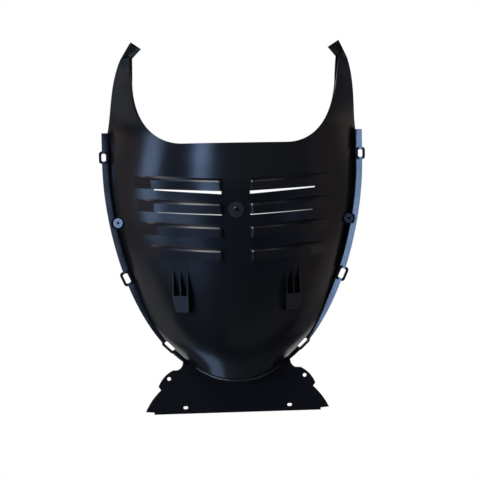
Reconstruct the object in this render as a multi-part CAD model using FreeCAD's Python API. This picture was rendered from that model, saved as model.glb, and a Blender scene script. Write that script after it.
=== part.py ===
import FreeCAD, Part
import math
import os

from FreeCAD import Vector

# Scooter inner panel: one moulded shell, crowned towards -Y, with two horns
# round a U-cut, hooded louvres, two ribbed catches, a gutter with a side
# flange and slotted tabs, and a foot skirt with screw holes.
# Frame: +Z up, X across, the crowned side faces -Y, and the origin is the
# middle of the centre screw hole on the crown of the shell. Millimetres.

# wall, how deep joined pieces reach into each other, and the step left at a joined edge
WALL = 2.5
BITE = 1.2
EDGE_STEP = 0.4
FLANGE_BITE = 1.8
SKIRT_BITE = 0.7

# outline of the crowned shell, seen from the front
HALF_WIDTH = 177.5
SHOULDER_Z = 60.0
CHIN_Z = -239.0
EGG_POWER = 1.74
EGG_ROOT = 0.45
EGG_POINTS = 12
FLANGE_TOP_Z = 109.5

# crown: how far the middle line and the edges lie behind the origin
CROWN_BEND_Z = 10.0
HORN_TOP_Z = 235.0
HORN_FORWARD = 62.0
HORN_POWER = 1.5
LOWER_BEND_Z = -165.0
CHIN_BACK = 12.0
EDGE_BEND_Z = -40.0
GUTTER_DEPTH = 66.0
HORN_CROWN = 80.0
TIP_CROWN = 8.0
HORN_TURN = 1.6
CORNER_Z = -222.0
CORNER_DEPTH = 40.0
SHELL_BOTTOM_Z = -256.0
SHELL_OVERRUN = 9.0
STATION_PITCH = 36.0

# U-cut and horns, seen from the front
CUT_Z = 92.0
CUT_FLAT = 70.0
CUT_HALF = 138.0
CUT_RISE = 80.0
CUT_POWER = 2.2
CUT_POINTS = 8
HORN_OUTER = ((172.6, 138.0), (165.6, 172.0))
HORN_OUTER_TOP = (152.5, 204.0)
TIP = (136.8, 224.5)
BEAK = (123.5, 216.0)
BEAK_ROOT = (136.0, 205.0)

# lips of the horns and the little roof on each tip
LIP_TOP_Z = 203.0
LIP_END_Z = 126.0
LIP_HEIGHT = 11.0
LIP_WALL = 2.2
LIP_INSET = 0.9
LIP_STATIONS = 6
ROOF_RISE = 10.0
ROOF_INSET = 4.0
ROOF_MARGIN = 0.6

# side flange
FLANGE_WIDTH = 9.2
FLANGE_INNER_Y = 61.5
FLANGE_OUTER_Y = 57.0
FLANGE_LOW_Y = 59.0
FLANGE_FALL_Z = -70.0
FLANGE_THICK = 3.0

# slotted tabs: middle of the slot, slot width and length, lean from upright
TAB_RIM = 3.6
TAB_CORNER = 4.5
SLOT_CORNER = 2.2
TAB_Y = 59.4
TAB_TOP = {"x": 184.4, "z": 74.8, "width": 6.4, "length": 10.8, "lean": 0.0}
TAB_MIDDLE = {"x": 155.6, "z": -99.0, "width": 7.4, "length": 14.5, "lean": 24.0}
TAB_LOW = {"x": 95.8, "z": -198.2, "width": 6.8, "length": 17.0, "lean": 46.0}

# foot skirt
FOLD_Z = -221.5
FOLD_Y = 60.0
LEDGE_Z = -225.5
LEDGE_Y = 56.0
SKIRT_LEAN = 8.0
SKIRT_BOTTOM_Z = -295.0
NECK = (78.0, -221.5)
NECK_ROUND = (79.5, -228.5)
EAR_TOP_IN = (85.5, -233.5)
EAR_TOP_OUT = (92.7, -233.7)
EAR_SIDE = (104.0, -241.6)
EAR_TIP = (113.5, -256.0)
EAR_NOTCH = (110.0, -261.0)
SKIRT_SIDE = (123.2, -275.6)
SKIRT_CORNER = (132.2, -291.0)
SKIRT_FOOT = (120.0, -292.0)
EAR_HOLE = (98.2, -245.3)
EAR_HOLE_RADIUS = 2.75
EAR_DIMPLE_DROP = 13.0
EAR_DIMPLE_RADIUS = 2.0
EAR_DIMPLE_DEPTH = 1.0
FOOT_HOLE = (75.0, -286.6)
FOOT_HOLE_WIDTH = 6.8
FOOT_HOLE_HEIGHT = 4.4

# louvres
LOUVRE_PITCH = 32.2
LOUVRE_TOP_Z = 39.4
LOUVRE_INNER_X = 18.6
LOUVRE_OUTER_X = 141.0
LOUVRE_OUTER_STEP = 3.5
LOUVRE_SLOPE = 0.042
LOUVRE_BLADE = 13.6
LOUVRE_SHELF_IN = 3.4
LOUVRE_SHELF_OUT = 6.0
LOUVRE_PROUD_IN = 8.5
LOUVRE_PROUD_OUT = 3.6
LOUVRE_TUCK = 0.5
LOUVRE_ROUND = 1.5
LOUVRE_WALL = 2.0
LOUVRE_NOSE = ((0.0, 0.3), (0.8, 0.62), (2.2, 0.86), (4.5, 1.0))
LOUVRE_TAIL = 24.0
LOUVRE_TAIL_PROUD = 0.4
LOUVRE_STATIONS = 5
CAVITY_IN = 1.2
CAVITY_OUT = 28.0
SLIT_OPEN = (4.4, 1.4, 0.4, 0.4)
SLIT_TAPER = 0.8

# ribbed catches
CATCH_X = 79.0
CATCH_WIDTH = 22.0
CATCH_TOP_Z = -79.0
CATCH_RIM_Z = -118.0
CATCH_BOTTOM_Z = -145.0
CATCH_PROUD = 15.0
CATCH_FOOT = 4.0
CATCH_WALL = 2.0
CATCH_FLOOR_Z = -140.0
CATCH_BAYS = 2
CATCH_CLEAR = 40.0

# screw seats
SEAT_RADIUS = 11.0
SEAT_PROUD = 1.0
COLLAR_RADIUS = 4.2
COLLAR_PROUD = 1.5
SCREW_RADIUS = 2.25
SCREW_DEPTH = 12.0
BOSS_RADIUS = 5.0
BOSS_LENGTH = 15.0
POST_X = 166.0
POST_Z = -18.8
POST_RADIUS = 7.5
POST_FACE_Y = 57.0
POST_LENGTH = 20.0
POST_HOLE_RADIUS = 1.8
POST_HOLE_DEPTH = 14.0

# far limit for cutting shapes
FAR = 400.0


def half_width(z):
    """Half width of the crowned shell's outline at a height."""
    if z >= SHOULDER_Z:
        return HALF_WIDTH
    share = min((SHOULDER_Z - z) / (SHOULDER_Z - CHIN_Z), 1.0)
    return HALF_WIDTH * (1.0 - share ** EGG_POWER) ** EGG_ROOT


def crown_y(z):
    """Y of the middle line of the shell's front."""
    if z > CROWN_BEND_Z:
        share = (z - CROWN_BEND_Z) / (HORN_TOP_Z - CROWN_BEND_Z)
        return -HORN_FORWARD * share ** HORN_POWER
    if z < LOWER_BEND_Z:
        share = (LOWER_BEND_Z - z) / (LOWER_BEND_Z - CHIN_Z)
        return CHIN_BACK * share ** 2
    return 0.0


def edge_y(z):
    """Y of the shell's front at the edge of its outline."""
    if z >= FLANGE_TOP_Z:
        share = (z - FLANGE_TOP_Z) / (HORN_TOP_Z - FLANGE_TOP_Z)
        return crown_y(z) + HORN_CROWN + (TIP_CROWN - HORN_CROWN) * share ** HORN_TURN
    if z >= SHOULDER_Z:
        share = (z - SHOULDER_Z) / (FLANGE_TOP_Z - SHOULDER_Z)
        return GUTTER_DEPTH + (crown_y(z) + HORN_CROWN - GUTTER_DEPTH) * share
    if z < EDGE_BEND_Z:
        share = min((EDGE_BEND_Z - z) / (EDGE_BEND_Z - CORNER_Z), 1.0)
        return GUTTER_DEPTH + (CORNER_DEPTH - GUTTER_DEPTH) * share ** 2
    return GUTTER_DEPTH


def section_radius(z):
    """Radius of the level section of the shell's front."""
    width = half_width(max(z, CORNER_Z))
    drop = edge_y(z) - crown_y(z)
    return (width ** 2 + drop ** 2) / (2.0 * drop)


def front_y(x, z):
    """Y of the shell's front at a place."""
    radius = section_radius(z)
    return crown_y(z) + radius - math.sqrt(radius ** 2 - x ** 2)


def skirt_y(z):
    """Y of the skirt's front at a height below its ledge."""
    return LEDGE_Y - (LEDGE_Z - z) * math.tan(math.radians(SKIRT_LEAN))


def both_sides(shape):
    """A shape of the right side and its mirror image."""
    return [shape, shape.mirror(Vector(0, 0, 0), Vector(1, 0, 0))]


def curve(points):
    """Smooth edge through points."""
    spline = Part.BSplineCurve()
    spline.interpolate(points)
    return spline.toShape()


def lines(points):
    """Straight edges from point to point."""
    return [Part.makeLine(a, b) for a, b in zip(points, points[1:])]


def flat(pair, y=-FAR):
    """Front-view pair (x, z) as a point at a depth."""
    return Vector(pair[0], y, pair[1])


def prism(edges, depth=2.0 * FAR):
    """Solid that runs along Y behind a closed front-view outline."""
    face = Part.Face(Part.Wire(Part.__sortEdges__(edges)))
    return face.extrude(Vector(0, depth, 0))


def pin(pair, radius, y_from, y_to):
    """Round solid along Y at a front-view place."""
    return Part.makeCylinder(radius, y_to - y_from, flat(pair, y_from), Vector(0, 1, 0))


def side_profile(points):
    """Solid over the full width with a closed outline of (y, z) pairs."""
    corners = [Vector(-FAR, y, z) for y, z in points]
    face = Part.Face(Part.makePolygon(corners + corners[:1]))
    return face.extrude(Vector(2.0 * FAR, 0, 0))


def shell_space(front_shift, back_shift):
    """Loft between the shell's front moved by two amounts along Y."""
    wires = []
    count = math.ceil((HORN_TOP_Z - SHELL_BOTTOM_Z) / STATION_PITCH)
    for index in range(count + 1):
        z = SHELL_BOTTOM_Z + (HORN_TOP_Z - SHELL_BOTTOM_Z) * index / count
        reach = half_width(max(z, CORNER_Z)) + SHELL_OVERRUN
        arcs = []
        for shift in (front_shift, back_shift):
            side = Vector(reach, front_y(reach, z) + shift, z)
            middle = Vector(0, crown_y(z) + shift, z)
            arcs.append(Part.Arc(Vector(-side.x, side.y, z), middle, side).toShape())
        front, back = arcs
        right = Part.makeLine(front.Vertexes[-1].Point, back.Vertexes[-1].Point)
        left = Part.makeLine(back.Vertexes[0].Point, front.Vertexes[0].Point)
        wires.append(Part.Wire([front, right, back, left]))
    return Part.makeLoft(wires, True, False)


def egg_pair(share):
    """Outline of the shell from a shoulder (0) down to the middle of the chin (1)."""
    z = SHOULDER_Z + (CHIN_Z - SHOULDER_Z) * math.sin(share * math.pi / 2.0)
    return (half_width(z), z)


def rim_pairs(offset):
    """Right half of the rim from the flange top to the chin, moved outwards."""
    pairs = [(HALF_WIDTH + offset, FLANGE_TOP_Z)]
    pairs.append((HALF_WIDTH + offset, (FLANGE_TOP_Z + SHOULDER_Z) / 2.0))
    pairs.append((HALF_WIDTH + offset, SHOULDER_Z))
    step = 0.001
    for index in range(1, EGG_POINTS):
        share = index / EGG_POINTS
        x, z = egg_pair(share)
        x_next, z_next = egg_pair(share + step)
        run = math.hypot(x_next - x, z_next - z)
        pairs.append((x - offset * (z_next - z) / run, z + offset * (x_next - x) / run))
    pairs.append((0.0, CHIN_Z - offset))
    return pairs


def rim_curve(offset, y=-FAR):
    """Rim curve from flange top to flange top, round the chin."""
    right = [flat(pair, y) for pair in rim_pairs(offset)]
    left = [Vector(-p.x, p.y, p.z) for p in reversed(right[:-1])]
    return curve(right + left)


def rim_prism(offset):
    """Everything inside the rim moved outwards, from the flange top down."""
    rim = rim_curve(offset)
    lid = Part.makeLine(rim.Vertexes[-1].Point, rim.Vertexes[0].Point)
    return prism([rim, lid])


def cut_pair(angle):
    """Point of the U-cut's rounded corner, from the flat (0) to the side (90)."""
    turn = math.radians(angle)
    z = CUT_Z + CUT_RISE * (1.0 - math.cos(turn) ** (2.0 / CUT_POWER))
    return (cut_side_x(z), z)


def cut_side_x(z):
    """X of the U-cut's side at a height."""
    fall = max(1.0 - (z - CUT_Z) / CUT_RISE, 0.0)
    return CUT_FLAT + (CUT_HALF - CUT_FLAT) * (1.0 - fall ** CUT_POWER) ** (1.0 / CUT_POWER)


def horn_edges(sign):
    """Edges from the flange top over a horn to the flat of the U-cut."""
    def place(pair):
        return flat((sign * pair[0], pair[1]))

    foot = place((HALF_WIDTH + BITE, FLANGE_TOP_Z))
    outer = curve([foot] + [place(pair) for pair in HORN_OUTER] + [place(HORN_OUTER_TOP)])
    tip = (HORN_OUTER_TOP, TIP, BEAK, BEAK_ROOT, cut_pair(90.0))
    angles = [90.0 * index / (CUT_POINTS - 1) for index in range(CUT_POINTS)]
    corner = curve([place(cut_pair(angle)) for angle in angles])
    return [outer, corner] + lines([place(pair) for pair in tip])


def shell():
    """Crowned shell with its horns, cut to its outline."""
    flat_of_cut = Part.makeLine(flat((CUT_FLAT, CUT_Z)), flat((-CUT_FLAT, CUT_Z)))
    edges = [rim_curve(BITE), flat_of_cut] + horn_edges(1) + horn_edges(-1)
    return shell_space(0.0, WALL).common(prism(edges))


def rim_walls():
    """Walls round the rim: forward to the flange at the sides, back to the skirt at the chin."""
    ring = rim_prism(WALL).cut(rim_prism(0.0))
    wall_front = FLANGE_INNER_Y + EDGE_STEP
    behind_flange = side_profile([
        (wall_front, -FAR), (FAR, -FAR), (FAR, FAR), (wall_front, FAR)
    ])
    gutter = ring.common(behind_flange).common(shell_space(-2.0 * GUTTER_DEPTH, WALL - EDGE_STEP))
    back = WALL - EDGE_STEP
    before_sheet = side_profile([
        (-FAR, SKIRT_BOTTOM_Z), (skirt_y(SKIRT_BOTTOM_Z) + back, SKIRT_BOTTOM_Z),
        (LEDGE_Y + back, LEDGE_Z), (FOLD_Y + back, FOLD_Z), (FOLD_Y + back, 0.0), (-FAR, 0.0)
    ])
    chin = ring.common(before_sheet).common(shell_space(EDGE_STEP, 2.0 * GUTTER_DEPTH))
    return [gutter, chin]


def flange_y(z):
    """Y of the flange's outer edge at a height."""
    share = (FLANGE_FALL_Z - z) / (FLANGE_FALL_Z - FOLD_Z)
    share = min(max(share, 0.0), 1.0)
    return FLANGE_OUTER_Y + (FLANGE_LOW_Y - FLANGE_OUTER_Y) * share * share * (3.0 - 2.0 * share)


def flange():
    """Strip that stands forward along the right rim, from the flange top to the fold."""
    inner = curve([flat(pair, FLANGE_INNER_Y) for pair in rim_pairs(FLANGE_BITE)])
    outer = curve([flat(pair, flange_y(pair[1])) for pair in rim_pairs(FLANGE_WIDTH)])
    strip = Part.makeRuledSurface(inner, outer).extrude(Vector(0, FLANGE_THICK, 0))
    above_fold = Part.makeBox(2.0 * FAR, 2.0 * FAR, FAR, Vector(0, -FAR, FOLD_Z - BITE))
    return strip.common(above_fold)


def rounded_plate(tab, rim, round_off, y_from, y_to):
    """Rounded rectangle round a tab's slot, along Y."""
    width = tab["width"] + 2.0 * rim
    length = tab["length"] + 2.0 * rim
    corner = Vector(tab["x"] - width / 2.0, y_from, tab["z"] - length / 2.0)
    plate = Part.makeBox(width, y_to - y_from, length, corner)
    upright = [edge for edge in plate.Edges if abs(edge.tangentAt(edge.FirstParameter).y) > 0.9]
    plate = plate.makeFillet(round_off, upright)
    plate.rotate(flat((tab["x"], tab["z"]), 0.0), Vector(0, 1, 0), tab["lean"])
    return plate


def skirt():
    """Foot skirt: a leaning sheet cut to its outline, with its holes."""
    def side(sign):
        def place(pair):
            return flat((sign * pair[0], pair[1]))

        neck = Part.Arc(place(NECK), place(NECK_ROUND), place(EAR_TOP_IN)).toShape()
        ear = Part.Arc(place(EAR_TOP_OUT), place(EAR_SIDE), place(EAR_TIP)).toShape()
        flank = Part.Arc(place(EAR_NOTCH), place(SKIRT_SIDE), place(SKIRT_CORNER)).toShape()
        straight = [(EAR_TOP_IN, EAR_TOP_OUT), (EAR_TIP, EAR_NOTCH), (SKIRT_CORNER, SKIRT_FOOT)]
        straight.append((SKIRT_FOOT, (SKIRT_FOOT[0], SKIRT_BOTTOM_Z)))
        return [neck, ear, flank] + [Part.makeLine(place(a), place(b)) for a, b in straight]

    top = Part.makeLine(flat(NECK), flat((-NECK[0], NECK[1])))
    foot = (SKIRT_FOOT[0], SKIRT_BOTTOM_Z)
    bottom = Part.makeLine(flat(foot), flat((-foot[0], foot[1])))
    outline = prism(side(1) + side(-1) + [top, bottom])
    foot_y = skirt_y(SKIRT_BOTTOM_Z)
    sheet = side_profile([
        (FOLD_Y, FOLD_Z), (FOLD_Y + WALL, FOLD_Z), (LEDGE_Y + WALL, LEDGE_Z),
        (foot_y + WALL, SKIRT_BOTTOM_Z), (foot_y, SKIRT_BOTTOM_Z), (LEDGE_Y, LEDGE_Z)
    ])
    return sheet.common(outline).cut(rim_prism(SKIRT_BITE))


def skirt_holes():
    """Ear hole, dimple below it and oblong foot hole of the right side."""
    ear = pin(EAR_HOLE, EAR_HOLE_RADIUS, 0.0, FAR)
    dimple_at = (EAR_HOLE[0], EAR_HOLE[1] - EAR_DIMPLE_DROP)
    dimple = pin(dimple_at, EAR_DIMPLE_RADIUS, 0.0, skirt_y(dimple_at[1]) + EAR_DIMPLE_DEPTH)
    radius = FOOT_HOLE_HEIGHT / 2.0
    shift = FOOT_HOLE_WIDTH / 2.0 - radius
    ends = [pin((FOOT_HOLE[0] + s * shift, FOOT_HOLE[1]), radius, 0.0, FAR) for s in (-1, 1)]
    corner = Vector(FOOT_HOLE[0] - shift, 0.0, FOOT_HOLE[1] - radius)
    middle = Part.makeBox(2.0 * shift, FAR, FOOT_HOLE_HEIGHT, corner)
    return [ear, dimple, ends[0].fuse([ends[1], middle]).removeSplitter()]


def horn_lip():
    """Lip along the inner edge of the right horn, running out towards the U-cut's flat."""
    wires = []
    for index in range(LIP_STATIONS):
        share = index / (LIP_STATIONS - 1)
        z = LIP_END_Z + (LIP_TOP_Z - LIP_END_Z) * share
        x = cut_side_x(z) + LIP_INSET
        root = front_y(x + LIP_WALL, z) + BITE
        crest = front_y(x, z) + BITE - (LIP_HEIGHT + BITE) * math.sin(share * math.pi / 2.0)
        corners = [
            Vector(x, root, z), Vector(x, crest, z),
            Vector(x + LIP_WALL, crest, z), Vector(x + LIP_WALL, root, z)
        ]
        wires.append(Part.makePolygon(corners + corners[:1]))
    return Part.makeLoft(wires, True, False)


def tip_roof():
    """Little roof on the right horn's tip: a narrow outer slope and a wide one down to the beak."""
    def on_shell(pair, rise):
        return flat(pair, front_y(*pair) - rise)

    middle = Vector(0, 0, 0)
    for pair in (HORN_OUTER_TOP, TIP, BEAK, BEAK_ROOT):
        middle += flat(pair, 0.0) * 0.25
    base = []
    for pair in (HORN_OUTER_TOP, TIP, BEAK, BEAK_ROOT):
        point = flat(pair, 0.0)
        point += (middle - point).normalize() * ROOF_MARGIN
        base.append(on_shell((point.x, point.z), -BITE))
    low, top, beak, root = base
    inward = (root - low).normalize() * ROOF_INSET
    ridge_low = low + inward + (top - low) * 0.2 - Vector(0, ROOF_RISE, 0)
    ridge_top = top + (beak - top) * 0.25 + (low - top) * 0.1 - Vector(0, ROOF_RISE, 0)
    triangles = [
        (low, beak, top), (low, root, beak),
        (low, top, ridge_top), (low, ridge_top, ridge_low),
        (ridge_low, ridge_top, beak), (ridge_low, beak, root),
        (top, beak, ridge_top), (low, ridge_low, root)
    ]
    faces = [Part.Face(Part.makePolygon([a, b, c, a])) for a, b, c in triangles]
    return Part.makeSolid(Part.makeShell(faces))


def side_wire(x, pairs):
    """Closed outline of (y, z) pairs in an upright plane across X."""
    points = [Vector(x, y, z) for y, z in pairs]
    return Part.makePolygon(points + points[:1])


def louvre(row):
    """Hood and cavity of one louvre on the right side."""
    outer_x = LOUVRE_OUTER_X - row * LOUVRE_OUTER_STEP
    inner_z = LOUVRE_TOP_Z - row * LOUVRE_PITCH

    def share(x):
        return (x - LOUVRE_INNER_X) / (outer_x - LOUVRE_INNER_X)

    def ridge_z(x):
        return inner_z + (x - LOUVRE_INNER_X) * LOUVRE_SLOPE

    def shelf(x):
        return LOUVRE_SHELF_IN + (LOUVRE_SHELF_OUT - LOUVRE_SHELF_IN) * share(x)

    def proud(x):
        return LOUVRE_PROUD_IN + (LOUVRE_PROUD_OUT - LOUVRE_PROUD_IN) * share(x)

    def hood_wire(x, rise):
        ridge = ridge_z(x)
        top = ridge + shelf(x)
        low = ridge - LOUVRE_BLADE
        soft = min(LOUVRE_ROUND, 0.5 * rise)
        shoulder = ridge + soft * shelf(x) / rise
        brow = ridge - soft
        tuck = min(LOUVRE_TUCK, 0.5 * rise)
        return side_wire(x, [
            (front_y(x, top) + BITE, top), (front_y(x, shoulder) - rise + soft, shoulder),
            (front_y(x, brow) - rise, brow),
            (front_y(x, low) - rise + tuck, low), (front_y(x, low) + BITE, low)
        ])

    def cavity_wire(x):
        ridge = ridge_z(x)
        depth = proud(x) - LOUVRE_WALL
        low = ridge - LOUVRE_BLADE
        floor = low - SLIT_OPEN[row] * (1.0 - SLIT_TAPER * share(x))
        top = ridge - LOUVRE_WALL
        back = WALL + BITE
        return side_wire(x, [
            (front_y(x, top) + back, top), (front_y(x, top) - depth, top),
            (front_y(x, low) - depth + LOUVRE_TUCK, low),
            (front_y(x, floor) - BITE, floor), (front_y(x, floor) + back, floor)
        ])

    def spaced(first, last):
        step = (last - first) / (LOUVRE_STATIONS - 1)
        return [first + step * index for index in range(LOUVRE_STATIONS)]

    nose = [(LOUVRE_INNER_X + run, part) for run, part in LOUVRE_NOSE]
    start = nose[-1][0]
    stop = outer_x - LOUVRE_TAIL
    hood = Part.makeLoft([hood_wire(x, proud(x)) for x in spaced(start, stop)], True, False)
    front_end = Part.makeLoft([hood_wire(x, part * proud(x)) for x, part in nose], True, True)
    tail = [hood_wire(stop, proud(stop)), hood_wire(outer_x, LOUVRE_TAIL_PROUD)]
    hoods = [hood, front_end, Part.makeLoft(tail, True, True)]
    reach = spaced(LOUVRE_INNER_X + CAVITY_IN, outer_x - CAVITY_OUT)
    return hoods, Part.makeLoft([cavity_wire(x) for x in reach], True, False)


def catch():
    """Ribbed catch of the right side and its two pockets, open at the top."""
    def outline(x):
        foot_z = CATCH_BOTTOM_Z + CATCH_FOOT
        return side_wire(x, [
            (front_y(x, CATCH_TOP_Z) + BITE, CATCH_TOP_Z),
            (front_y(x, CATCH_RIM_Z) - CATCH_PROUD, CATCH_RIM_Z),
            (front_y(x, foot_z) - CATCH_PROUD, foot_z),
            (front_y(x, CATCH_BOTTOM_Z) + BITE, CATCH_BOTTOM_Z)
        ])

    left = CATCH_X - CATCH_WIDTH / 2.0
    right = CATCH_X + CATCH_WIDTH / 2.0
    block = Part.makeLoft([outline(x) for x in (left, CATCH_X, right)], True, False)
    bay = (CATCH_WIDTH - (CATCH_BAYS + 1) * CATCH_WALL) / CATCH_BAYS
    pockets = []
    for index in range(CATCH_BAYS):
        start = left + CATCH_WALL + index * (bay + CATCH_WALL)
        wires = []
        for x in (start, start + bay):
            pairs = [
                (front_y(x, CATCH_TOP_Z) + WALL, CATCH_TOP_Z + CATCH_WALL),
                (front_y(x, CATCH_TOP_Z) - CATCH_CLEAR, CATCH_TOP_Z + CATCH_WALL),
                (front_y(x, CATCH_RIM_Z) - CATCH_CLEAR, CATCH_RIM_Z),
                (front_y(x, CATCH_RIM_Z) - CATCH_PROUD + CATCH_WALL, CATCH_RIM_Z),
                (front_y(x, CATCH_FLOOR_Z) - CATCH_PROUD + CATCH_WALL, CATCH_FLOOR_Z),
                (front_y(x, CATCH_FLOOR_Z) + WALL, CATCH_FLOOR_Z),
                (front_y(x, CATCH_RIM_Z) + WALL, CATCH_RIM_Z)
            ]
            wires.append(side_wire(x, pairs))
        pockets.append(Part.makeLoft(wires, True, True))
    return block.cut(pockets[0].fuse(pockets[1:]))


def post():
    """Screw post of the right gutter and its blind hole."""
    place = (POST_X, POST_Z)
    solid = pin(place, POST_RADIUS, POST_FACE_Y, POST_FACE_Y + POST_LENGTH)
    return solid, pin(place, POST_HOLE_RADIUS, 0.0, POST_FACE_Y + POST_HOLE_DEPTH)


def seat():
    """Round pad and collar of the centre screw, the boss behind them and the blind hole."""
    middle = (0.0, 0.0)
    face = -SEAT_PROUD - COLLAR_PROUD
    pad = pin(middle, SEAT_RADIUS, -SEAT_PROUD, BITE)
    collar = pin(middle, COLLAR_RADIUS, face, BITE)
    boss = pin(middle, BOSS_RADIUS, BITE, BOSS_LENGTH)
    return [pad, collar, boss], pin(middle, SCREW_RADIUS, -FAR, face + SCREW_DEPTH)


def build():
    """The whole panel as one solid."""
    added = rim_walls()
    added += both_sides(flange())
    added.append(skirt())
    taken = []
    for tab in (TAB_TOP, TAB_MIDDLE, TAB_LOW):
        added += both_sides(rounded_plate(tab, TAB_RIM, TAB_CORNER, TAB_Y, TAB_Y + WALL))
        taken += both_sides(rounded_plate(tab, 0.0, SLOT_CORNER, 0.0, FAR))
    added += both_sides(horn_lip())
    added += both_sides(tip_roof())
    for row in range(len(SLIT_OPEN)):
        hoods, cavity = louvre(row)
        for hood in hoods:
            added += both_sides(hood)
        taken += both_sides(cavity)
    added += both_sides(catch())
    solid, bore = post()
    added += both_sides(solid)
    taken += both_sides(bore)
    pads, hole = seat()
    added += pads
    taken.append(hole)
    for hole in skirt_holes():
        taken += both_sides(hole)
    whole = shell().fuse(added)
    return whole.cut(taken)


os.makedirs("parts", exist_ok=True)
panel = build()
print("valid", panel.isValid(), "solids", len(panel.Solids), "volume", round(panel.Volume))
panel.exportStep("parts/inner_panel.step")
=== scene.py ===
# %% [markdown]
# # A moulded scooter inner panel
#
# The part is one black shell, moulded in a single shot: a crowned face with
# hooded louvres, two horns round a U-cut, a gutter with a slotted flange, and
# a foot skirt. The solid comes from CAD with its shape, and its mesh is left
# alone. This lesson gives it the plastic, adds a few small forms in the same
# plastic, and then sets the stage and the light.

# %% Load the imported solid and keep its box
import math
import bpy
from mathutils import Matrix, Vector
from mathutils.bvhtree import BVHTree


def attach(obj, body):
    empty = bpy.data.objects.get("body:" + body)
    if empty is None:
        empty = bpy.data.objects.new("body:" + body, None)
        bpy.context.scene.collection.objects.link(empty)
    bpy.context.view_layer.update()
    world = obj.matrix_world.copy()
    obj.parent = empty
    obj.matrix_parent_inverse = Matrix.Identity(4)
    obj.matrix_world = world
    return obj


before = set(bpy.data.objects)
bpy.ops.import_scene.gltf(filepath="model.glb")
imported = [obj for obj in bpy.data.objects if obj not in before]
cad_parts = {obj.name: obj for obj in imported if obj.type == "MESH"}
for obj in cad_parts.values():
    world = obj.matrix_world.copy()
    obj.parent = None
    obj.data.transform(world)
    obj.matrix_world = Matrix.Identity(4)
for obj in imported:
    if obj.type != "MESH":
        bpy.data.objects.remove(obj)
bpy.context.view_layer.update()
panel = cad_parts["inner_panel"]

# %% [markdown]
# ## Black moulded plastic
#
# The panel is satin polypropylene, dyed through. A flat black would hide its
# shape, because such a plastic shows almost only what it reflects. So the
# colour is near black and the gloss carries the detail: a slow noise varies
# the roughness, as wiping and handling do. Every pattern reads Object
# coordinates, so it stays where it is on the part.

# %% Colour, and the slow haze of the gloss
NEAR_BLACK = (0.0065, 0.0062, 0.0065, 1.0)
PLASTIC_IOR = 1.5
HAZE_SCALE = 9.0
HAZE_DETAIL = 4.0
GLOSSIEST = 0.17
HAZIEST = 0.28

plastic = bpy.data.materials.new("black_plastic_satin")
plastic.use_nodes = True
nodes = plastic.node_tree.nodes
links = plastic.node_tree.links
shader = nodes["Principled BSDF"]
shader.inputs["Base Color"].default_value = NEAR_BLACK
shader.inputs["IOR"].default_value = PLASTIC_IOR

place = nodes.new("ShaderNodeTexCoord")
haze = nodes.new("ShaderNodeTexNoise")
haze.inputs["Scale"].default_value = HAZE_SCALE
haze.inputs["Detail"].default_value = HAZE_DETAIL
links.new(place.outputs["Object"], haze.inputs["Vector"])
haze_range = nodes.new("ShaderNodeMapRange")
haze_range.inputs["To Min"].default_value = GLOSSIEST
haze_range.inputs["To Max"].default_value = HAZIEST
links.new(haze.outputs["Fac"], haze_range.inputs["Value"])
print("plastic", plastic.name, "roughness from", GLOSSIEST, "to", HAZIEST)

# %% [markdown]
# ## Duller faces
#
# The pad round the centre screw and the front plates of the two catches are
# duller than the shell. They could have a material of their own, but the panel
# is one mesh, so a mask picks them out by their place: sums on the coordinates
# give one inside a shape and nought outside it.

# %% Mask for the pad and the plates
PAD_RADIUS = 0.011
COLLAR_RADIUS = 0.0043
PAD_BACK = 0.0012
PLATE_X = 0.079
PLATE_HALF_WIDTH = 0.0111
PLATE_Z = -0.132
PLATE_HALF_HEIGHT = 0.0135
PLATE_BACK = 0.008
DULL = 0.5

where = nodes.new("ShaderNodeSeparateXYZ")
links.new(place.outputs["Object"], where.inputs["Vector"])


def worked_out(kind, *values):
    """A sum on up to three values, each a socket or a number."""
    node = nodes.new("ShaderNodeMath")
    node.operation = kind
    for index, value in enumerate(values):
        if isinstance(value, float):
            node.inputs[index].default_value = value
        else:
            links.new(value, node.inputs[index])
    return node.outputs["Value"]


def round_the_screw(radius):
    """One within a radius of the centre screw's axis and nought outside it."""
    across = worked_out("MULTIPLY", where.outputs["X"], where.outputs["X"])
    along = worked_out("MULTIPLY", where.outputs["Z"], where.outputs["Z"])
    return worked_out("LESS_THAN", worked_out("ADD", across, along), radius * radius)


def in_front_of(depth):
    """One in front of a depth and nought behind it, so that the back keeps its plain gloss."""
    return worked_out("LESS_THAN", where.outputs["Y"], depth)


pad = worked_out("SUBTRACT", round_the_screw(PAD_RADIUS), round_the_screw(COLLAR_RADIUS))
pad = worked_out("MULTIPLY", pad, in_front_of(PAD_BACK))
from_middle = worked_out("ABSOLUTE", where.outputs["X"])
across_plate = worked_out("COMPARE", from_middle, PLATE_X, PLATE_HALF_WIDTH)
along_plate = worked_out("COMPARE", where.outputs["Z"], PLATE_Z, PLATE_HALF_HEIGHT)
plates = worked_out("MULTIPLY", across_plate, along_plate)
plates = worked_out("MULTIPLY", plates, in_front_of(PLATE_BACK))
rough = nodes.new("ShaderNodeMix")
links.new(worked_out("MAXIMUM", pad, plates), rough.inputs["Factor"])
links.new(haze_range.outputs["Result"], rough.inputs["A"])
rough.inputs["B"].default_value = DULL
links.new(rough.outputs["Result"], shader.inputs["Roughness"])
print("dull faces, roughness", DULL)

# %% [markdown]
# ## Grain and waviness
#
# The mould leaves a very fine grain, and a thin wall cools into slow waves that
# bend the reflections. Real waves in the mesh would need many more faces, so
# two bumps only tilt the normal: first the waves, then the grain on top.

# %% Waves, then grain, and the plastic on the panel
WAVE_SCALE = 16.0
WAVE_DETAIL = 1.0
WAVE_STRENGTH = 0.25
WAVE_DEPTH = 0.002
GRAIN_SCALE = 2600.0
GRAIN_DETAIL = 2.0
GRAIN_STRENGTH = 0.12
GRAIN_DEPTH = 0.0001


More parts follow.
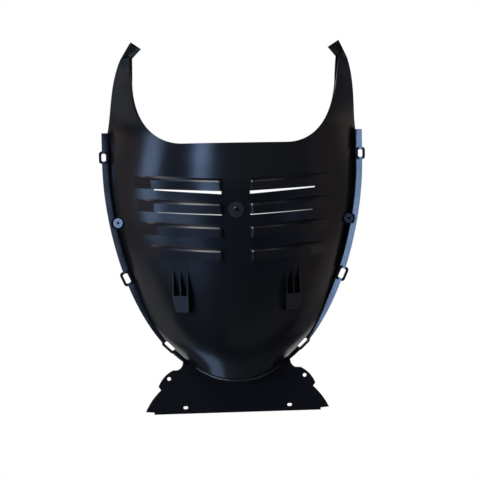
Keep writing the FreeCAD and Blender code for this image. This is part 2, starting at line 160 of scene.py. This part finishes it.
def bumps(scale, detail, strength, depth):
    """A bump from a noise on the panel's own coordinates."""
    noise = nodes.new("ShaderNodeTexNoise")
    noise.inputs["Scale"].default_value = scale
    noise.inputs["Detail"].default_value = detail
    links.new(place.outputs["Object"], noise.inputs["Vector"])
    bump = nodes.new("ShaderNodeBump")
    bump.inputs["Strength"].default_value = strength
    bump.inputs["Distance"].default_value = depth
    links.new(noise.outputs["Fac"], bump.inputs["Height"])
    return bump


waves = bumps(WAVE_SCALE, WAVE_DETAIL, WAVE_STRENGTH, WAVE_DEPTH)
grain = bumps(GRAIN_SCALE, GRAIN_DETAIL, GRAIN_STRENGTH, GRAIN_DEPTH)
links.new(waves.outputs["Normal"], grain.inputs["Normal"])
links.new(grain.outputs["Normal"], shader.inputs["Normal"])
for panel_slot in panel.material_slots:
    panel_slot.material = plastic
print("plastic on", len(panel.material_slots), "slot")

# %% [markdown]
# ## End walls of the louvres
#
# Each hood is hollow and open at the back. At its rounded inner end the hollow
# of the solid breaks through in a hairline gap, so a thin wall closes it. A box
# pushed in by eye would stand proud somewhere, because the hood is curved. So
# rays from the front measure the hood on each side of the gap, and a narrow
# strip joins the two lines that they find, set just under them.

# %% A way to measure the panel from the front
IN_FRONT = -0.3
NUDGE = 0.0003
NUDGES = ((0, 0), (0, 1), (-1, 0), (1, 0), (0, 2), (-2, 0), (2, 0))
BESIDE_PAD = 0.015
BACKWARDS = Vector((0.0, 1.0, 0.0))

panel_mesh = panel.data.copy()
panel_mesh.transform(panel.matrix_world)
corners = [vertex.co for vertex in panel_mesh.vertices]
skin = BVHTree.FromPolygons(corners, [list(face.vertices) for face in panel_mesh.polygons])
bpy.data.meshes.remove(panel_mesh)


def seen_from_front(x, z):
    """Place and normal of the first surface that a ray from the front meets, there or just beside it."""
    for across, upwards in NUDGES:
        hit = skin.ray_cast(Vector((x + across * NUDGE, IN_FRONT, z + upwards * NUDGE)), BACKWARDS)
        if hit[0] is not None:
            break
    return hit[0], hit[1]


def front_of_panel(x, z):
    """Depth of the first surface met from the front."""
    return seen_from_front(x, z)[0].y


def turn_faces_out(piece):
    """Make every face of a closed piece point outwards."""
    bpy.ops.object.select_all(action="DESELECT")
    piece.select_set(True)
    bpy.context.view_layer.objects.active = piece
    bpy.ops.object.mode_set(mode="EDIT")
    bpy.ops.mesh.select_all(action="SELECT")
    bpy.ops.mesh.normals_make_consistent(inside=False)
    bpy.ops.object.mode_set(mode="OBJECT")


print("depth of the shell beside the pad", round(front_of_panel(BESIDE_PAD, 0.0), 5))

# %% Thin walls at the inner ends of the hoods
ROWS = 4
ROW_PITCH = 0.0322
TOP_RIDGE = 0.0394
WALL_TOP = 0.0016
WALL_LOW = 0.0134
THIN_IN = 0.0196
THIN_OUT = 0.0203
SUNK = 0.00003
THICK = 0.0009
STEPS = 6

points = []
faces = []
for side in (-1.0, 1.0):
    for row in range(ROWS):
        ridge = TOP_RIDGE - row * ROW_PITCH
        first = len(points)
        for step in range(STEPS):
            z = ridge - WALL_TOP - (WALL_LOW - WALL_TOP) * step / (STEPS - 1.0)
            near = front_of_panel(side * THIN_IN, z) + SUNK
            far = front_of_panel(side * THIN_OUT, z) + SUNK
            points.append((side * THIN_IN, near, z))
            points.append((side * THIN_OUT, far, z))
            points.append((side * THIN_OUT, far + THICK, z))
            points.append((side * THIN_IN, near + THICK, z))
        for step in range(STEPS - 1):
            start = first + 4 * step
            for corner in range(4):
                turn = (corner + 1) % 4
                faces.append((start + corner, start + turn, start + 4 + turn, start + 4 + corner))
        last = first + 4 * (STEPS - 1)
        faces.append((first, first + 1, first + 2, first + 3))
        faces.append((last, last + 1, last + 2, last + 3))
wall_mesh = bpy.data.meshes.new("louvre_end_walls")
wall_mesh.from_pydata(points, [], faces)
wall_mesh.materials.append(plastic)
end_walls = bpy.data.objects.new("louvre_end_walls", wall_mesh)
bpy.context.scene.collection.objects.link(end_walls)
turn_faces_out(end_walls)
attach(end_walls, "root")
print("end walls", len(faces), "faces")

# %% [markdown]
# ## Cone on the centre collar and faces of the screw posts
#
# The collar round the centre screw ends in a shallow cone, whose upper flank
# catches the key light as a bright spot. The two screw posts in the gutters
# have faces that lean outwards with the sides, so the left one mirrors the
# window and the right one does not. All three are rings. A Screw modifier could
# turn a profile, but a circle that is extruded and resized from step to step
# needs no helper object, and it closes on itself when the doubles are merged.

# %% A ring drawn out of a circle
SEGMENTS = 48
DOUBLES = 0.000001
FORWARDS = Vector((0.0, -1.0, 0.0))


def turned_ring(name, profile, spot, axis):
    """A ring of plastic with a profile of radii and depths, on an axis that points forwards."""
    bpy.ops.object.select_all(action="DESELECT")
    radius, depth = profile[0]
    bpy.ops.mesh.primitive_circle_add(
        vertices=SEGMENTS,
        radius=radius,
        location=(0.0, depth, 0.0),
        rotation=(math.radians(90.0), 0.0, 0.0),
    )
    ring = bpy.context.object
    ring.name = name
    ring.data.name = name
    bpy.ops.object.transform_apply(location=True, rotation=True, scale=True)
    bpy.ops.object.mode_set(mode="EDIT")
    bpy.ops.mesh.select_all(action="SELECT")
    for next_radius, next_depth in profile[1:] + profile[:1]:
        bpy.ops.mesh.extrude_region_move(TRANSFORM_OT_translate={"value": (0.0, next_depth - depth, 0.0)})
        growth = next_radius / radius
        bpy.ops.transform.resize(value=(growth, 1.0, growth), center_override=(0.0, next_depth, 0.0))
        radius = next_radius
        depth = next_depth
    bpy.ops.mesh.select_all(action="SELECT")
    bpy.ops.mesh.remove_doubles(threshold=DOUBLES)
    bpy.ops.object.mode_set(mode="OBJECT")
    ring.rotation_euler = FORWARDS.rotation_difference(axis).to_euler()
    ring.location = spot
    bpy.ops.object.transform_apply(location=True, rotation=True, scale=True)
    turn_faces_out(ring)
    ring.data.materials.append(plastic)
    print(name, len(ring.data.vertices), "points,", len(ring.data.polygons), "faces")
    return ring


# %% Cone on the collar
CONE = ((0.00415, -0.0024), (0.00415, -0.00256), (0.0025, -0.0037), (0.0023, -0.0036), (0.0023, -0.0024))

cone = turned_ring("collar_cone", CONE, Vector((0.0, 0.0, 0.0)), FORWARDS)
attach(cone, "root")

# %% Leaning faces on the two posts
POST_FACE = ((0.0069, 0.0034), (0.0069, 0.0), (0.0019, 0.0), (0.0019, 0.0034))
POST_PLACE = (0.166, -0.0188)
BESIDE_HOLE = 0.004
LEAN_OUT = math.radians(10.5)
LEAN_UP = math.radians(5.0)

for name, side in (("post_face_left", -1.0), ("post_face_right", 1.0)):
    axis = Vector((
        side * math.sin(LEAN_OUT) * math.cos(LEAN_UP),
        -math.cos(LEAN_OUT) * math.cos(LEAN_UP),
        math.sin(LEAN_UP),
    ))
    flat = front_of_panel(side * (POST_PLACE[0] + BESIDE_HOLE), POST_PLACE[1])
    rise = POST_FACE[0][0] * math.sqrt(1.0 - axis.y * axis.y)
    spot = Vector((side * POST_PLACE[0], flat - rise, POST_PLACE[1]))
    post_face = turned_ring(name, POST_FACE, spot, axis)
    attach(post_face, "root")

# %% [markdown]
# ## Bead along the edge of the chin
#
# The lower edge of the chin, where its wall turns back to the foot skirt, is
# rounded and draws a thin bright line. A bevel would change the CAD mesh, so a
# thin round curve lies along the edge instead. The edge is found by halving:
# above it a ray from the front meets the chin, which faces down, and below it
# the skirt, which faces a little up. The depth is read just above the edge,
# because a ray at the edge itself can slip along the wall under the chin.

# %% Bead that follows the edge
BEAD_HALF = 0.058
BEAD_STEPS = 40
BEAD_RADIUS = 0.0018
BEAD_PROUD = 0.0012
CHIN_SURE = -0.2
SKIRT_SURE = -0.25
HALVINGS = 14
ABOVE_EDGE = 0.001

bead_curve = bpy.data.curves.new("chin_bead", "CURVE")
bead_curve.dimensions = "3D"
bead_curve.bevel_depth = BEAD_RADIUS
bead_curve.bevel_resolution = 3
bead_line = bead_curve.splines.new("POLY")
bead_line.points.add(BEAD_STEPS)
for step in range(BEAD_STEPS + 1):
    x = BEAD_HALF * (2.0 * step / BEAD_STEPS - 1.0)
    upper = CHIN_SURE
    lower = SKIRT_SURE
    for turn in range(HALVINGS):
        half = 0.5 * (upper + lower)
        if seen_from_front(x, half)[1].z < 0.0:
            upper = half
        else:
            lower = half
    bead_line.points[step].co = (x, front_of_panel(x, upper + ABOVE_EDGE) - BEAD_PROUD, upper, 1.0)
bead_curve.materials.append(plastic)
bead = bpy.data.objects.new("chin_bead", bead_curve)
bpy.context.scene.collection.objects.link(bead)
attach(bead, "root")
depths = [point.co.y for point in bead_line.points]
jumps = [abs(after - before) for before, after in zip(depths, depths[1:])]
print("bead depth from", round(min(depths), 4), "to", round(max(depths), 4))
print("largest step in its depth", round(max(jumps), 4))

# %% [markdown]
# ## Floor and background
#
# The panel hangs before a white ground. The floor is a plain pale sheet well
# below it. The backdrop glows white to the camera and in reflections, so the
# steep sides of the plastic mirror it at a glancing angle, as they do in life.
# A lit white wall would do the same, but it would also light the back of the
# panel. Both sheets are clear from behind. The rest of the room stays dim,
# because black plastic shows whatever it faces.

# %% Floor and backdrop
PALE = (0.85, 0.85, 0.85, 1.0)
MATT = 0.9


def pale_sheet(name, size, spot, tilt, rays):
    """A plain pale plane, pure white to the given kinds of ray and clear from behind."""
    bpy.ops.mesh.primitive_plane_add(size=size, location=spot, rotation=(tilt, 0.0, 0.0))
    sheet = bpy.context.object
    sheet.name = name
    paint = bpy.data.materials.new(name + "_paint")
    paint.use_nodes = True
    tree = paint.node_tree
    base = tree.nodes["Principled BSDF"]
    base.inputs["Base Color"].default_value = PALE
    base.inputs["Roughness"].default_value = MATT
    path = tree.nodes.new("ShaderNodeLightPath")
    total = tree.nodes.new("ShaderNodeMath")
    total.operation = "ADD"
    total.use_clamp = True
    total.inputs[1].default_value = 0.0
    for index, kind in enumerate(rays):
        tree.links.new(path.outputs[kind], total.inputs[index])
    white = tree.nodes.new("ShaderNodeEmission")
    mix = tree.nodes.new("ShaderNodeMixShader")
    tree.links.new(total.outputs["Value"], mix.inputs["Fac"])
    tree.links.new(base.outputs["BSDF"], mix.inputs[1])
    tree.links.new(white.outputs["Emission"], mix.inputs[2])
    side = tree.nodes.new("ShaderNodeNewGeometry")
    clear = tree.nodes.new("ShaderNodeBsdfTransparent")
    facing = tree.nodes.new("ShaderNodeMixShader")
    tree.links.new(side.outputs["Backfacing"], facing.inputs["Fac"])
    tree.links.new(mix.outputs["Shader"], facing.inputs[1])
    tree.links.new(clear.outputs["BSDF"], facing.inputs[2])
    tree.links.new(facing.outputs["Shader"], tree.nodes["Material Output"].inputs["Surface"])
    sheet.data.materials.append(paint)
    print(name, size, "m wide")


pale_sheet("floor", 8.0, (0.0, 0.0, -3.0), 0.0, ["Is Camera Ray"])
pale_sheet("backdrop", 3.0, (0.0, 0.8, 0.0), math.radians(90.0), ["Is Camera Ray", "Is Glossy Ray"])

# %% A dim room that is white to the camera
ROOM_TINT = (0.42, 0.43, 0.6, 1.0)
ROOM_GLOW = 0.07
WHITE = (1.0, 1.0, 1.0, 1.0)

world = bpy.data.worlds.new("studio")
bpy.context.scene.world = world
world.use_nodes = True
world_nodes = world.node_tree.nodes
world_links = world.node_tree.links
room = world_nodes["Background"]
room.inputs["Color"].default_value = ROOM_TINT
room.inputs["Strength"].default_value = ROOM_GLOW
seen = world_nodes.new("ShaderNodeBackground")
seen.inputs["Color"].default_value = WHITE
seen.inputs["Strength"].default_value = 1.0
world_ray = world_nodes.new("ShaderNodeLightPath")
world_mix = world_nodes.new("ShaderNodeMixShader")
world_links.new(world_ray.outputs["Is Camera Ray"], world_mix.inputs["Fac"])
world_links.new(room.outputs["Background"], world_mix.inputs[1])
world_links.new(seen.outputs["Background"], world_mix.inputs[2])
world_links.new(world_mix.outputs["Shader"], world_nodes["World Output"].inputs["Surface"])
bpy.context.scene.view_settings.view_transform = "Standard"
print("room glow", ROOM_GLOW)

# %% [markdown]
# ## Lamps
#
# Black plastic shows its lamps rather than its colour, so each lamp stands in
# the direction in which one spot of the panel mirrors it. A strong soft panel
# high on the left draws the thin lines along the louvre brows, and one overhead
# picks out the ledges. Cool panes, like those of a window, give the blue glows
# on the crown, the chin and the flanges. A near pane keeps its glow to one
# spot. Low panels light the horns from below, and wide warm walls the sides.

# %% A soft panel, placed by its direction from the spot that it lights
COOL = (0.4, 0.6, 1.0)
WARM = (1.0, 0.76, 0.66)
PLAIN = (0.95, 0.97, 1.0)


def soft_panel(name, spot, turn, height, distance, size, glow, tint):
    """A panel seen from a spot at an angle from the front and a height, with an even glow."""
    across = math.radians(turn)
    lift = math.radians(height)
    way = Vector((math.sin(across) * math.cos(lift), -math.cos(across) * math.cos(lift), math.sin(lift)))
    lamp = bpy.data.lights.new(name, "AREA")
    lamp.shape = "RECTANGLE"
    lamp.size = size[0]
    lamp.size_y = size[1]
    lamp.energy = glow * math.pi * size[0] * size[1]
    lamp.color = tint
    holder = bpy.data.objects.new(name, lamp)
    bpy.context.scene.collection.objects.link(holder)
    holder.location = spot + way * distance
    holder.rotation_euler = (-way).to_track_quat("-Z", "Y").to_euler()
    print(name, "at", tuple(round(value, 2) for value in holder.location))
    return holder


# %% Key, ceiling and window panes
MIDDLE = Vector((0.0, 0.0, -0.03))
CROWN_LEFT = Vector((-0.118, 0.017, 0.071))
CROWN_MIDDLE = Vector((-0.05, -0.005, 0.078))
CHIN_LEFT = Vector((-0.036, 0.03, -0.207))
FLANGE_LEFT = Vector((-0.17, 0.06, -0.03))
FLANGE_RIGHT = Vector((0.17, 0.06, -0.03))
NECK_LEFT = Vector((-0.072, 0.056, -0.208))

soft_panel("key_above_left", MIDDLE, -50.0, 57.0, 1.8, (1.5, 0.5), 7.0, PLAIN)
soft_panel("ceiling", MIDDLE, 10.0, 81.0, 1.8, (0.7, 0.6), 5.0, PLAIN)
soft_panel("upper_right", MIDDLE, 32.0, 50.0, 1.8, (0.8, 0.3), 0.7, PLAIN)
soft_panel("pane_upper", MIDDLE, -45.0, 38.0, 1.8, (0.6, 0.35), 1.8, COOL)
soft_panel("pane_left", CROWN_LEFT, -58.0, -13.0, 0.7, (0.18, 0.11), 6.0, COOL)
pane_middle = soft_panel("pane_middle", CROWN_MIDDLE, -22.0, -27.0, 4.5, (0.76, 0.7), 15.0, COOL)
soft_panel("pane_chin", CHIN_LEFT, -56.0, -46.0, 0.7, (0.36, 0.14), 3.0, COOL)
soft_panel("pane_right", FLANGE_LEFT, 52.0, 6.0, 1.8, (0.7, 0.3), 3.0, COOL)
soft_panel("window_left", FLANGE_RIGHT, -43.0, 6.0, 1.8, (0.75, 0.3), 18.0, COOL)
soft_panel("pane_neck", NECK_LEFT, 23.0, 17.0, 1.8, (0.25, 0.2), 6.0, COOL)

# %% Low panels and warm walls
HORN_LEFT = Vector((-0.163, 0.02, 0.137))
HORN_RIGHT = Vector((0.15, 0.02, 0.137))

soft_panel("low_front", MIDDLE, 25.0, -21.0, 1.9, (2.4, 0.35), 0.15, PLAIN)
soft_panel("low_left", HORN_LEFT, -87.0, -45.0, 0.8, (0.42, 0.45), 0.44, PLAIN)
soft_panel("low_right", HORN_RIGHT, 96.0, -40.0, 0.8, (0.4, 0.4), 0.15, PLAIN)
soft_panel("wall_left", MIDDLE, -88.0, 9.0, 2.2, (2.6, 1.7), 0.28, WARM)
soft_panel("wall_right", MIDDLE, 88.0, 4.0, 2.2, (2.6, 2.2), 0.16, WARM)
soft_panel("edge_left", MIDDLE, -102.0, 4.0, 2.2, (1.0, 2.2), 0.24, WARM)
soft_panel("edge_right", MIDDLE, 104.0, 4.0, 2.2, (1.0, 2.2), 0.24, WARM)

# %% [markdown]
# ## A dark card before the chin
#
# The chin mirrors the middle pane as well as its own. The pane could be moved,
# but then its glow would leave the crown. A dark card on the way from the chin
# to the pane hides it from the chin alone, as a card on a stand does in a
# studio. It is clear to the camera.

# %% Card on the way to the middle pane
CHIN_MIDDLE = Vector((-0.022, 0.015, -0.185))
CARD_AWAY = 0.45
CARD_SIZE = 0.2
CARD_BLACK = (0.01, 0.01, 0.01, 1.0)

to_pane = (pane_middle.location - CHIN_MIDDLE).normalized()
bpy.ops.mesh.primitive_plane_add(size=CARD_SIZE, location=CHIN_MIDDLE + to_pane * CARD_AWAY)
card = bpy.context.object
card.name = "chin_card"
card.rotation_euler = to_pane.to_track_quat("Z", "Y").to_euler()
card_paint = bpy.data.materials.new("chin_card_paint")
card_paint.use_nodes = True
card_nodes = card_paint.node_tree.nodes
card_links = card_paint.node_tree.links
card_black = card_nodes["Principled BSDF"]
card_black.inputs["Base Color"].default_value = CARD_BLACK
card_black.inputs["Roughness"].default_value = MATT
card_ray = card_nodes.new("ShaderNodeLightPath")
card_clear = card_nodes.new("ShaderNodeBsdfTransparent")
card_mix = card_nodes.new("ShaderNodeMixShader")
card_links.new(card_ray.outputs["Is Camera Ray"], card_mix.inputs["Fac"])
card_links.new(card_black.outputs["BSDF"], card_mix.inputs[1])
card_links.new(card_clear.outputs["BSDF"], card_mix.inputs[2])
card_links.new(card_mix.outputs["Shader"], card_nodes["Material Output"].inputs["Surface"])
card.data.materials.append(card_paint)
print("card at", tuple(round(value, 3) for value in card.location))

# %% [markdown]
# ## Camera
#
# The photograph was taken almost straight on, a little from the left and from
# just above, with a longish lens. The camera looks at the origin from there.
# Turning it would frame the panel too, but would change the angle, so a small
# shift of the lens does it.

# %% Camera at the photograph's angle
FRAME_PIXELS = 480.0
FOCAL_PIXELS = 975.0
ORIGIN_PIXEL = (236.0, 209.5)
SENSOR = 36.0
DISTANCE = 1.34375
TURN = math.radians(-3.0)
HEIGHT = math.radians(3.0)
ROLL = math.radians(1.05)

to_camera = Vector((math.sin(TURN) * math.cos(HEIGHT), -math.cos(TURN) * math.cos(HEIGHT), math.sin(HEIGHT)))
level = Vector((math.cos(TURN), math.sin(TURN), 0.0))
upright = to_camera.cross(level)
right = level * math.cos(ROLL) - upright * math.sin(ROLL)
up = level * math.sin(ROLL) + upright * math.cos(ROLL)
lens = bpy.data.cameras.new("photo_camera")
lens.sensor_width = SENSOR
lens.lens = SENSOR * FOCAL_PIXELS / FRAME_PIXELS
lens.shift_x = (FRAME_PIXELS / 2.0 - ORIGIN_PIXEL[0]) / FRAME_PIXELS
lens.shift_y = (ORIGIN_PIXEL[1] - FRAME_PIXELS / 2.0) / FRAME_PIXELS
camera = bpy.data.objects.new("photo_camera", lens)
bpy.context.scene.collection.objects.link(camera)
turned = Matrix((right, up, to_camera)).transposed().to_4x4()
camera.matrix_world = Matrix.Translation(to_camera * DISTANCE) @ turned
bpy.context.scene.camera = camera
print("camera at", tuple(round(value, 3) for value in camera.location))
